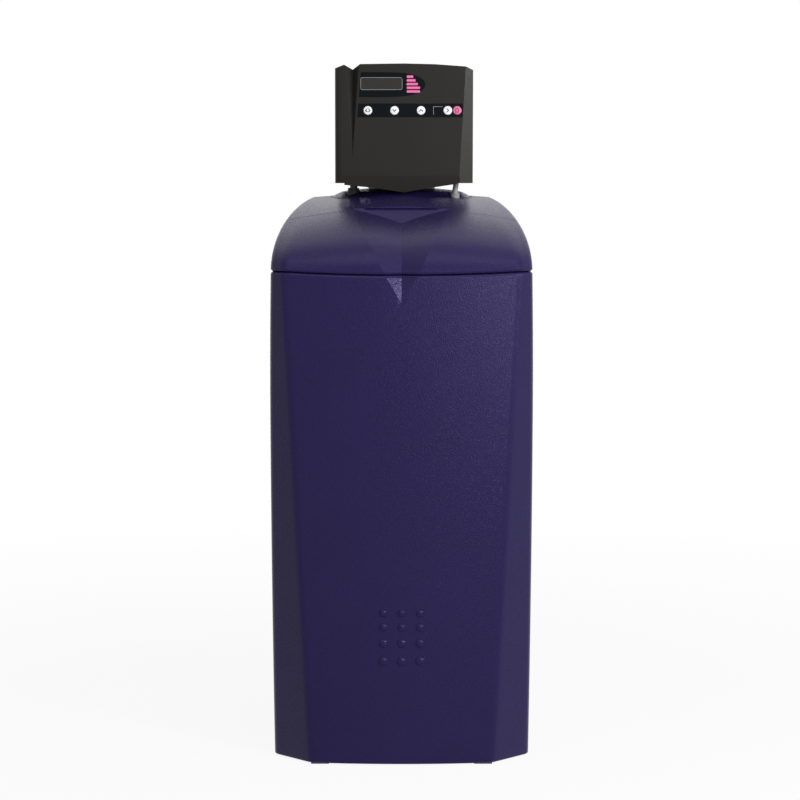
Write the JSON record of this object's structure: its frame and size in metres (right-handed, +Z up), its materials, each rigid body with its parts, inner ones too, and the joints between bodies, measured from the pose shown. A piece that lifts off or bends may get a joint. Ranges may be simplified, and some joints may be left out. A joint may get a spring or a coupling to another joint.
{
  "type": "water softener",
  "caption": "Cabinet water softener with a domed cover, lift-off salt lid, control head with display and keys, resin vessel, rotary disc valve and brine float.",
  "frame": {"origin": "on the floor, under the middle of the object's box", "axes": "+Z up, -Y towards the front panel, +X to the viewer's right seen from the front"},
  "size_m": [0.3348, 0.4916, 0.9],
  "materials": {
    "cabinet": "moulded violet plastic with a fine grain",
    "head": "moulded charcoal plastic with a fine grain",
    "overlay": "smooth near-black film",
    "readout": "dark grey display",
    "white_key": "smooth white",
    "pink_key": "smooth pink",
    "white_plastic": "plain white",
    "grey_plastic": "plain grey",
    "black_plastic": "plain black",
    "vessel": "wound glass fibre with a smooth resin face",
    "resin": "amber beads",
    "rubber": "black rubber",
    "pale_rubber": "pale grey rubber",
    "steel": "plain steel",
    "brass": "cut brass",
    "ceramic": "lapped ceramic",
    "board": "green solder mask"
  },
  "bodies": {
    "softener": {"cabinet_shell": "cabinet", "rear_cover": "cabinet", "front_cover": "head", "rear_housing": "head", "display_window": "overlay", "keypad_strip": "overlay", "lcd_module": "readout", "bottom_strainer": "white_plastic", "top_strainer": "white_plastic", "brine_elbow": "white_plastic", "brine_well": "white_plastic", "brine_well_cap": "white_plastic", "salt_grid": "white_plastic", "riser_tube": "white_plastic", "brine_tube": "grey_plastic", "brine_valve": "grey_plastic", "drain_elbow": "grey_plastic", "drive_plate": "grey_plastic", "overflow_fitting": "grey_plastic", "overflow_nut": "grey_plastic", "drain_outlet": "grey_plastic", "drain_nut": "grey_plastic", "feet": "black_plastic", "tank_boot": "black_plastic", "valve_body": "black_plastic", "bonnet": "black_plastic", "injector_cap": "black_plastic", "power_inlet": "black_plastic", "drain_tube": "black_plastic", "resin_tank": "vessel", "resin_bed": "resin", "tank_o_ring": "rubber", "drain_grommet": "rubber", "brine_grommet": "pale_rubber", "bonnet_screws": "steel", "drive_motor": "steel", "turbine_axle": "steel", "housing_screws": "steel", "fixed_disc": "ceramic", "control_board": "board"},
    "lid": {"salt_lid": "cabinet"},
    "valve_drive": {"drive_gear": "white_plastic", "valve_shaft": "steel", "moving_disc": "ceramic"},
    "pinion": {"motor_pinion": "brass"},
    "turbine": {"flow_turbine": "grey_plastic"},
    "float": {"brine_float": "grey_plastic"},
    "key_1": {"key_1": "white_key"},
    "key_2": {"key_2": "white_key"},
    "key_3": {"key_3": "white_key"},
    "key_4": {"key_4": "white_key"},
    "key_5": {"key_5": "pink_key"}
  },
  "joints": [
    {"name": "lid_lift", "type": "slide", "parent": "softener", "child": "lid", "axis": [0, 0, 1], "range_m": [0, 0.2]},
    {"name": "valve_turn", "type": "hinge", "parent": "softener", "child": "valve_drive", "pos_m": [0, 0.06, 0.809], "axis": [0, 1, 0], "continuous": true},
    {"name": "pinion_turn", "type": "hinge", "parent": "softener", "child": "pinion", "pos_m": [0.045, 0.06, 0.809], "axis": [0, 1, 0], "continuous": true},
    {"name": "turbine_spin", "type": "hinge", "parent": "softener", "child": "turbine", "pos_m": [0.04, 0.176, 0.794], "axis": [0, 1, 0], "continuous": true},
    {"name": "float_rise", "type": "slide", "parent": "softener", "child": "float", "axis": [0, 0, 1], "range_m": [0, 0.06]},
    {"name": "key_1_press", "type": "slide", "parent": "softener", "child": "key_1", "axis": [0, 1, 0], "range_m": [0, 0.0008], "stiffness_N_per_m": 600},
    {"name": "key_2_press", "type": "slide", "parent": "softener", "child": "key_2", "axis": [0, 1, 0], "range_m": [0, 0.0008], "stiffness_N_per_m": 600},
    {"name": "key_3_press", "type": "slide", "parent": "softener", "child": "key_3", "axis": [0, 1, 0], "range_m": [0, 0.0008], "stiffness_N_per_m": 600},
    {"name": "key_4_press", "type": "slide", "parent": "softener", "child": "key_4", "axis": [0, 1, 0], "range_m": [0, 0.0008], "stiffness_N_per_m": 600},
    {"name": "key_5_press", "type": "slide", "parent": "softener", "child": "key_5", "axis": [0, 1, 0], "range_m": [0, 0.0008], "stiffness_N_per_m": 600}
  ],
  "couplings": [
    {"joint": "pinion_turn", "follows": "valve_turn", "ratio": -4}
  ]
}
